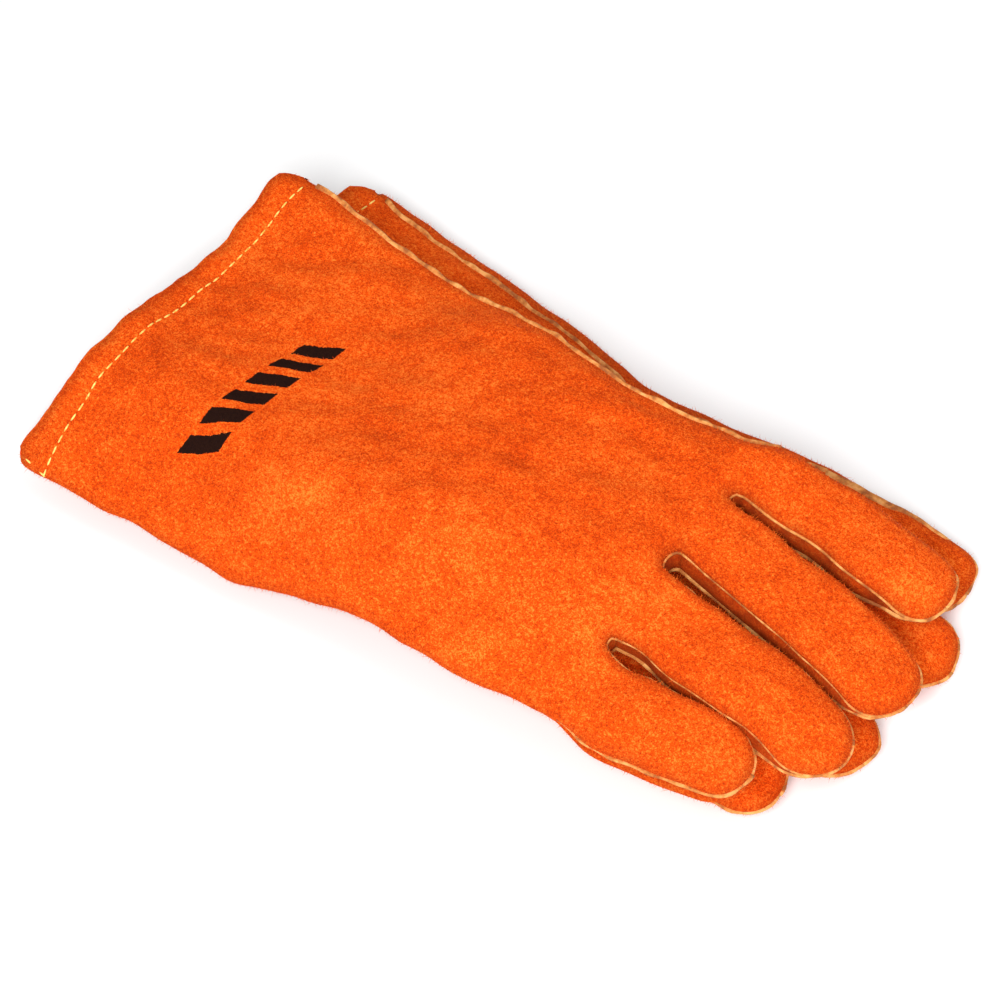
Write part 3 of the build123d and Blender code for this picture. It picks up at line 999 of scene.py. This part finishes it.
def linings(glove, fleece_cloth, duck_cloth):
    """The gauntlet's duck lining and the hand's and fingers' fleece, inside the leather."""
    x = glove.xy[glove.faces].mean(1)[:, 0]
    room = glove.room[glove.faces].min(1) > 2 * (LEATHER + LINING) + 1.0
    regions = face_regions(glove)
    in_gauntlet = room & (x < WRIST_X) & (x > CUFF_X + HEM + 1.5)
    in_hand = room & (x >= WRIST_X) & (regions == 0)
    groups = [("gauntlet_lining", 0, in_gauntlet), ("hand_liner", 0, in_hand)]
    for number, finger in enumerate(glove.fingers, 1):
        groups.append((finger.name + "_liner", number, room & (regions == number)))
    for name, region, kept in groups:
        fleecy = name != "gauntlet_lining"
        sides = [layer(glove, up, LEATHER + 2 * SEWN, LINING, kept) for up in (True, False)]
        node = f"{glove.name}_{name}"
        made = new_object(node + "_cloth", *merge(sides))
        made.data.materials.append(fleece_cloth if fleecy else duck_cloth)
        attach(made, glove, region, [node])


def hem(glove, leather):
    """The cuff's leather turned in, with the round fold along its edge."""
    kept = glove.xy[glove.faces].mean(1)[:, 0] < CUFF_X + HEM + 0.5
    kept &= glove.room[glove.faces].min(1) > 4 * LEATHER + 1.0
    near = nearest(glove.xy, glove.rim[stretch_spans(glove)["cuff"]])[1]
    radius = LEATHER + SEWN / 2
    turns = np.linspace(0, TAU, 10, endpoint=False)
    parts = []
    for up in (True, False):
        parts.append(layer(glove, up, LEATHER + SEWN, LEATHER, kept))
        points, _, normals = panel(glove, up)
        line, normal = points[near], normals[near]
        travel = np.append(0, np.cumsum(np.linalg.norm(np.diff(line, axis=0), axis=1))) / MM
        from_end = np.minimum(travel, travel[-1] - travel)
        thick = radius * (0.2 + 0.8 * smooth(from_end, 1, 11))[:, None]  # thin at the corners
        centre = line - normal * (thick + 0.1) * MM
        along = np.gradient(centre, axis=0)
        along /= np.linalg.norm(along, axis=1)[:, None]
        out = np.cross(along, normal) * (1 if up else -1)
        fold = [centre + (normal * math.cos(t) + out * math.sin(t)) * thick * MM for t in turns]
        parts.append((np.vstack(fold), tube_faces(len(line), len(turns))))
    made = face_outwards(new_object(glove.name + "_turned_hem", *merge(parts)))
    made.data.materials.append(leather)
    # A little painted shade on the turned hem, as along the seams.
    set_attribute(made, "seam_near", 0.3)
    attach(made, glove, 0, [])


class Thumb(Pouch):
    """A thumb folded flat on the palm: two halves sewn round one outline."""

    def __init__(self, glove, root, tip, width):
        self.glove, self.root, self.tip = glove, np.array(root, float), np.array(tip, float)
        length = np.linalg.norm(self.tip - self.root)
        plan = FingerPlan("thumb", (0, 0), (length / 2, 1.5), (length, 0), width, 0.94)
        low, high = plan.edge(-1), plan.edge(1)
        stretches = [("low", low), ("high", high[::-1]), ("root", [high[0], low[0]])]
        super().__init__(stretches, "root")
        self.ripple = Ripple(71 + glove.right, 14, 40)
        self.room = self.surface(True)[:, 2] - self.surface(False)[:, 2]

    def to_frame(self, points):
        along = (self.tip - self.root) / np.linalg.norm(self.tip - self.root)
        up = np.array([-along[2], 0, along[0]])
        placed = self.root + np.outer(points[:, 0], along) + np.outer(points[:, 2], up)
        placed[:, 1] += points[:, 1]
        return self.glove.to_frame(placed)

    def surface(self, up):
        crumple = 0.3 * self.ripple(self.xy + (0, 200 * up)) * smooth(self.rim_gap, 0, 6)
        height = np.maximum(6.2 * self.fullness + crumple, 0.05)
        return np.column_stack([self.xy, height if up else -height])


def thumb(glove, root, tip, leather, welt):
    made = Thumb(glove, root, tip, 29.0)
    for up in (True, False):
        points, faces, normals = panel(made, up)
        node = f"{glove.name}_thumb_{'front' if up == glove.right else 'back'}"
        # Painted shade along the thumb's seam, as on the panels.
        near = 1 - smooth(made.rim_gap, 0, SEAM_SHADE_REACH)
        share = np.full(len(points), 0.3)
        name = node + "_leather"
        piece = leather_piece(name, leather, points, normals, faces, made.room, near, share)
        attach(piece, glove, 0, [node])
    rim = np.flatnonzero(made.rim_label != "root")
    line, out = flat(made.rim[rim]), flat(made.rim_out[rim])
    profile = [(-2.4, 0.55), (0.5, 0.6), (0.9, 0.3), (0.9, -0.3), (0.5, -0.6), (-2.4, -0.55)]
    verts = np.vstack([line + out * p + (0, 0, q) for p, q in profile])
    node = glove.name + "_thumb_welt"
    shape = verts, tube_faces(len(rim), len(profile))
    attach(finished(node + "_cut_edge", made, shape, welt), glove, 0, [node])


# ---------------------------------------------------------------- stitches and nap, by Geometry Nodes


def node_tree(name, *inputs):
    tree = bpy.data.node_groups.new(name, "GeometryNodeTree")
    tree.interface.new_socket("Geometry", in_out="INPUT", socket_type="NodeSocketGeometry")
    for label, kind, value in inputs:
        tree.interface.new_socket(label, in_out="INPUT", socket_type=kind).default_value = value
    tree.interface.new_socket("Geometry", in_out="OUTPUT", socket_type="NodeSocketGeometry")
    return tree, add(tree, "NodeGroupInput").outputs, add(tree, "NodeGroupOutput")


def baked(name, source, tree):
    """The tree's result on the source as a plain mesh object; the source goes."""
    made = source.modifiers.new("Nodes", "NODES")
    made.node_group = tree
    depsgraph = bpy.context.evaluated_depsgraph_get()
    depsgraph.update()
    mesh = bpy.data.meshes.new_from_object(source.evaluated_get(depsgraph), depsgraph=depsgraph)
    source.modifiers.remove(made)
    bpy.data.objects.remove(source)
    mesh.name = name
    return in_scene(name, mesh)


def scattered(tree, points, instance, rotation, x, y, z):
    """The instance on every point, turned, and sized along its own axes."""
    size = add(tree, "ShaderNodeCombineXYZ", {"X": x, "Y": y, "Z": z})
    sockets = {"Points": points, "Instance": instance, "Rotation": rotation}
    sockets["Scale"] = size.outputs["Vector"]
    return add(tree, "GeometryNodeInstanceOnPoints", sockets).outputs["Instances"]


def stitch_tree(cloth):
    """A stitch every pitch along each line of the source, lying along it."""
    tree, into, out = node_tree(
        "stitches",
        ("Pitch", "NodeSocketFloat", 5.0 * MM),
        ("Length", "NodeSocketFloat", 3.9 * MM),
        ("Thread", "NodeSocketFloat", 0.8 * MM),
    )
    line = add(tree, "GeometryNodeMeshToCurve", {"Mesh": into["Geometry"]}).outputs["Curve"]
    even = add(
        tree, "GeometryNodeResampleCurve", {"Curve": line, "Length": into["Pitch"]}, mode="LENGTH"
    ).outputs["Curve"]
    points = add(tree, "GeometryNodeCurveToPoints", {"Curve": even}, mode="EVALUATED").outputs
    turn = add(tree, "FunctionNodeAlignRotationToVector", {"Vector": points["Tangent"]}, axis="X")
    ball = add(tree, "GeometryNodeMeshUVSphere", Segments=10, Rings=7, Radius=0.5).outputs["Mesh"]
    size = into["Length"], into["Thread"], into["Thread"]
    placed = scattered(tree, points["Points"], ball, turn.outputs["Rotation"], *size)
    real = add(tree, "GeometryNodeRealizeInstances", {"Geometry": placed}).outputs["Geometry"]
    shade = add(tree, "GeometryNodeSetShadeSmooth", {"Geometry": real}).outputs["Geometry"]
    dyed = add(tree, "GeometryNodeSetMaterial", {"Geometry": shade}, Material=cloth)
    tree.links.new(dyed.outputs["Geometry"], out.inputs["Geometry"])
    return tree


def nap_tree(cloth, name):
    """Fibres scattered over a face, standing and leaning: thin three-sided spikes."""
    tree, into, out = node_tree(
        name,
        ("Density", "NodeSocketFloat", 800000.0),
        ("Length", "NodeSocketFloat", 1.15 * MM),
        ("Thickness", "NodeSocketFloat", 0.2 * MM),
        ("Lean", "NodeSocketFloat", 1.0),
        ("Seed", "NodeSocketInt", 3),
    )
    seed = into["Seed"]
    share = add(tree, "GeometryNodeInputNamedAttribute", data_type="FLOAT", Name="nap")
    often = math_node(tree, "MULTIPLY", share.outputs["Attribute"], into["Density"])
    sown = {"Mesh": into["Geometry"], "Density": often, "Seed": seed}
    points = add(tree, "GeometryNodeDistributePointsOnFaces", sown).outputs
    spike = add(
        tree,
        "GeometryNodeMeshCone",
        fill_type="NGON",
        Vertices=3,
        Radius_Top=0.0,
        Radius_Bottom=0.5,
        Depth=1.0,
    ).outputs["Mesh"]
    leans = add(
        tree,
        "FunctionNodeRandomValue",
        {"Seed": seed},
        data_type="FLOAT_VECTOR",
        Min=(-1, -1, 0),
        Max=(1, 1, TAU),
    ).outputs["Value"]
    lean = {"Vector": leans, "Scale": into["Lean"]}
    lean = add(tree, "ShaderNodeVectorMath", lean, operation="SCALE").outputs["Vector"]
    turned = {"Rotation": points["Rotation"], "Rotate By": lean}
    turned = add(tree, "FunctionNodeRotateRotation", turned, rotation_space="LOCAL").outputs["Rotation"]
    growth = add(tree, "FunctionNodeRandomValue", {"Seed": seed}, data_type="FLOAT").outputs[1]
    few_long = math_node(tree, "MULTIPLY", math_node(tree, "POWER", growth, 6.0), 2.0)
    length = math_node(tree, "MULTIPLY", math_node(tree, "ADD", few_long, 0.6), into["Length"])
    size = into["Thickness"], into["Thickness"], length
    placed = scattered(tree, points["Points"], spike, turned, *size)
    shades = add(tree, "FunctionNodeRandomValue", {"Seed": seed}, data_type="FLOAT").outputs[1]
    marked = add(
        tree,
        "GeometryNodeStoreNamedAttribute",
        {"Geometry": placed, "Value": shades},
        data_type="FLOAT",
        domain="INSTANCE",
        Name="tone",
    ).outputs["Geometry"]
    real = add(tree, "GeometryNodeRealizeInstances", {"Geometry": marked}).outputs["Geometry"]
    dyed = add(tree, "GeometryNodeSetMaterial", {"Geometry": real}, Material=cloth)
    tree.links.new(dyed.outputs["Geometry"], out.inputs["Geometry"])
    return tree


def nap(leather, glove, region, tree):
    """The fibres on one leather piece, as a piece of their own."""
    source = leather.copy()
    source.data = leather.data.copy()
    for key in list(source.keys()):
        del source[key]
    bpy.context.scene.collection.objects.link(source)
    made = baked(leather.name.replace("_leather", "_nap"), source, tree)
    attach(made, glove, region, [])


def hem_stitching(glove, tree):
    """The two runs of stitches that hold the hem, and the thread's end by the little finger's side."""
    verts, edges = [], []
    x = CUFF_X + HEM
    low, high = (glove.rim[glove.rim_label == side][:, 1] for side in ("little_side", "index_side"))
    start, end = low.min() + 4.0, high.max() - 5.0
    ys = np.arange(start, end, 1.5)
    across = np.column_stack([np.full(len(ys), x), ys])
    xs = np.linspace(x - 8.5, x - 1.0, 8)
    thread_end = np.column_stack([xs, np.full(len(xs), start - 1.0)])
    runs = [(True, across), (False, across), (glove.right, thread_end)]
    for up, line in runs:
        points = glove.at(up, line)
        points[:, 2] += 0.22 if up else -0.22
        first = len(verts)
        verts += list(glove.to_frame(points))
        edges += [(first + i, first + i + 1) for i in range(len(points) - 1)]
    mesh = bpy.data.meshes.new("stitch_lines")
    mesh.from_pydata([tuple(v) for v in verts], edges, [])
    node = glove.name + "_hem_stitching"
    made = baked(node + "_thread", in_scene("stitch_lines", mesh), tree)
    attach(made, glove, 0, [node])


# ---------------------------------------------------------------- the floor, the light and the camera


def floor():
    half = 4.0
    corners = [(-half, -half, 0), (half, -half, 0), (half, half, 0), (-half, half, 0)]
    mesh = bpy.data.meshes.new("floor")
    mesh.from_pydata(corners, [], [(0, 1, 2, 3)])
    made = in_scene("floor", mesh)
    made.location.z = -0.0002
    paint, _, shader, _ = material("white paper")
    shader.inputs["Base Color"].default_value = (0.93, 0.93, 0.93, 1)
    shader.inputs["Roughness"].default_value = 0.9
    mesh.materials.append(paint)


def way_from(azimuth, elevation):
    """The way to something from the middle: azimuth from the front towards the fingertips."""
    turn, tilt = math.radians(azimuth), math.radians(elevation)
    return Vector((math.sin(turn) * math.cos(tilt), -math.cos(turn) * math.cos(tilt), math.sin(tilt)))


def light(name, azimuth, elevation, distance, size, power):
    lamp = bpy.data.lights.new(name, "AREA")
    lamp.shape, lamp.size, lamp.energy = "DISK", size, power
    way = way_from(azimuth, elevation)
    made = in_scene(name, lamp)
    made.location = way * distance
    made.rotation_euler = way.to_track_quat("Z", "Y").to_euler()


def studio():
    world = bpy.data.worlds.new("studio")
    world.use_nodes = True
    back = world.node_tree.nodes["Background"]
    back.inputs["Color"].default_value = (1, 1, 1, 1)
    back.inputs["Strength"].default_value = 0.42
    bpy.context.scene.world = world
    bpy.context.scene.view_settings.view_transform = "Standard"
    light("key", 28, 44, 1.7, 0.8, 34)
    light("fill", 120, 65, 1.8, 1.2, 8)


def camera():
    distance, target, half_view = 1.15, Vector((-0.0068, -0.0195, 0.030)), 0.195
    back = way_from(37.4, 49)
    lens = bpy.data.cameras.new("camera")
    lens.angle = 2 * math.atan(half_view / distance)
    lens.clip_start = 0.05
    made = in_scene("camera", lens)
    made.location = target + back * distance
    made.rotation_euler = back.to_track_quat("Z", "Y").to_euler()
    bpy.context.scene.camera = made


# ---------------------------------------------------------------- the pair

for name in ("Cube", "Light", "Camera"):  # what an empty file starts with
    if name in bpy.data.objects:
        bpy.data.objects.remove(bpy.data.objects[name])

plain, printed = suede("suede"), suede("printed suede", True)
plain_nap = nap_tree(suede_nap(), "suede nap")
printed_nap = nap_tree(suede_nap(True), "printed suede nap")
welt, fleece_cloth, duck_cloth = welt_leather(), fleece(), duck()
stitches = stitch_tree(thread())

for glove in (Glove("right", *RIGHT_PLAN), Glove("left", *LEFT_PLAN)):
    for up in (True, False):
        inked = glove.right and up
        for piece, region in leather_panels(glove, up, printed if inked else plain):
            nap(piece, glove, region, printed_nap if inked and not region else plain_nap)
    seams(glove, plain, welt)
    hem(glove, plain)
    linings(glove, fleece_cloth, duck_cloth)
    hem_stitching(glove, stitches)
    thumb(glove, *THUMBS[glove.name], plain, welt)

floor()
studio()
camera()
